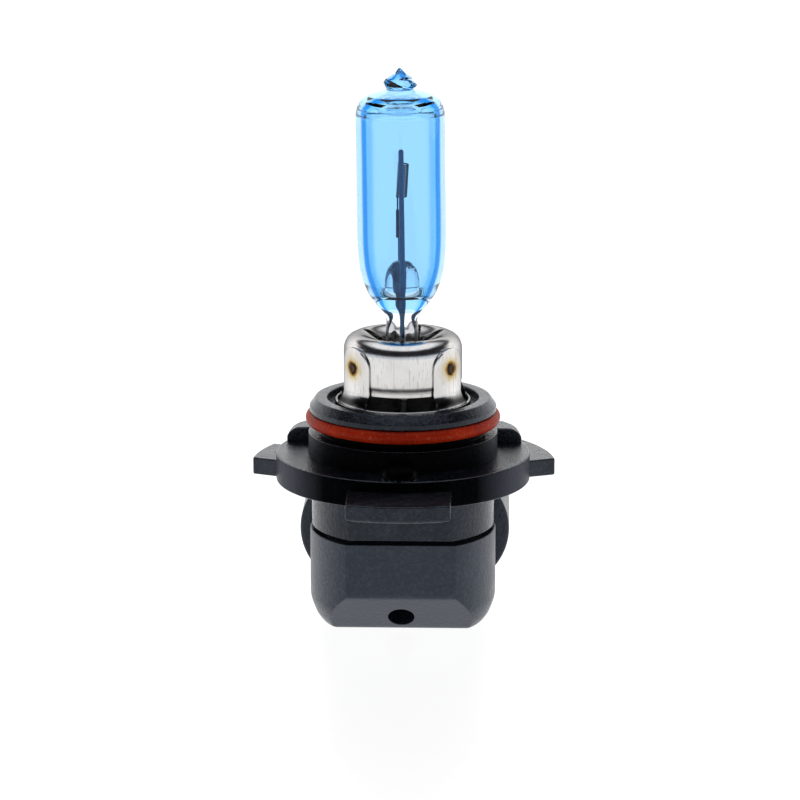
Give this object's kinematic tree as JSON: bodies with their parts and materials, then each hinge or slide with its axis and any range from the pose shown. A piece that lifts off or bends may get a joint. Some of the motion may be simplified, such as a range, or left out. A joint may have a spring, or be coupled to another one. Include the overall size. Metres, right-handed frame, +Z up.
{
  "type": "halogen headlight bulb",
  "caption": "Right-angle halogen headlight bulb: glass capsule with an axial filament in a metal cup, on a moulded base with keyed flange lugs, an O-ring and a rear plug socket.",
  "frame": {"origin": "middle of the flat underside of the base, on the lamp axis", "axes": "+Z up the lamp axis towards the glass tip, -Y towards the wide front tab, +Y towards the mouth of the socket"},
  "size_m": [0.044, 0.0522, 0.0807],
  "materials": {
    "tinted_glass": "polished, light blue coat",
    "tungsten": "dark drawn wire",
    "lead_wire": "dark drawn wire",
    "foil": "thin rolled foil",
    "steel": "bright pressed sheet",
    "weld": "heat-tinted weld",
    "black_plastic": "semi-matte, fine grain",
    "red_rubber": "satin silicone",
    "terminal": "tinned",
    "seal_rubber": "matte silicone"
  },
  "bodies": {
    "root": {"glass_capsule": "tinted_glass", "filament": "tungsten", "long_lead": "lead_wire", "short_lead": "lead_wire", "upper_leg_sleeve": "tungsten", "lower_leg_sleeve": "tungsten", "front_foil": "foil", "rear_foil": "foil", "front_outer_lead": "lead_wire", "rear_outer_lead": "lead_wire", "holder_cup": "steel", "weld_ring": "steel", "weld_spots": "weld", "base_housing": "black_plastic", "connector_shell": "black_plastic", "base_cover": "black_plastic", "o_ring": "red_rubber", "left_terminal": "terminal", "right_terminal": "terminal", "lead_seal": "seal_rubber"}
  },
  "joints": []
}
